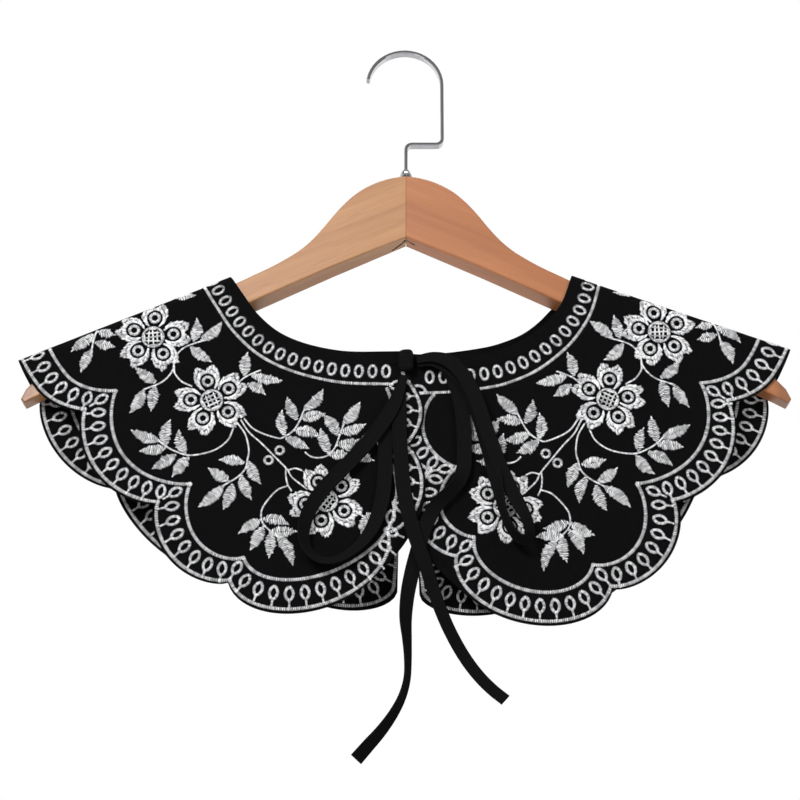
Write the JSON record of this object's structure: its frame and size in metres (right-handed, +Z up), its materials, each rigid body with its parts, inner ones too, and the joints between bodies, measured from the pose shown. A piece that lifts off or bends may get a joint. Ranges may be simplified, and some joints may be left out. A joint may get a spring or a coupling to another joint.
{
  "type": "collar scarf on a hanger",
  "caption": "Scallop-edged embroidered cape collar tied with a bow, folded over the arms of a wooden hanger that hangs from a flat steel hook.",
  "frame": {"origin": "inside top of the hook's arch, where it bears on a rail", "axes": "+X to the viewer's right along the hanger, +Y towards the back, +Z up"},
  "size_m": [0.4489, 0.0349, 0.4377],
  "materials": {
    "cloth": "matt black woven cotton with white satin-stitch embroidery",
    "wood": "pale brown, clear satin varnish",
    "steel": "polished strip"
  },
  "bodies": {
    "root": {"collar_left": "cloth", "collar_right": "cloth", "neck_band": "cloth", "knot": "cloth", "loop_left": "cloth", "loop_right": "cloth", "tail_left": "cloth", "tail_right": "cloth", "hanger_left": "wood", "hanger_right": "wood", "ferrule": "steel", "hook": "steel"}
  },
  "joints": []
}
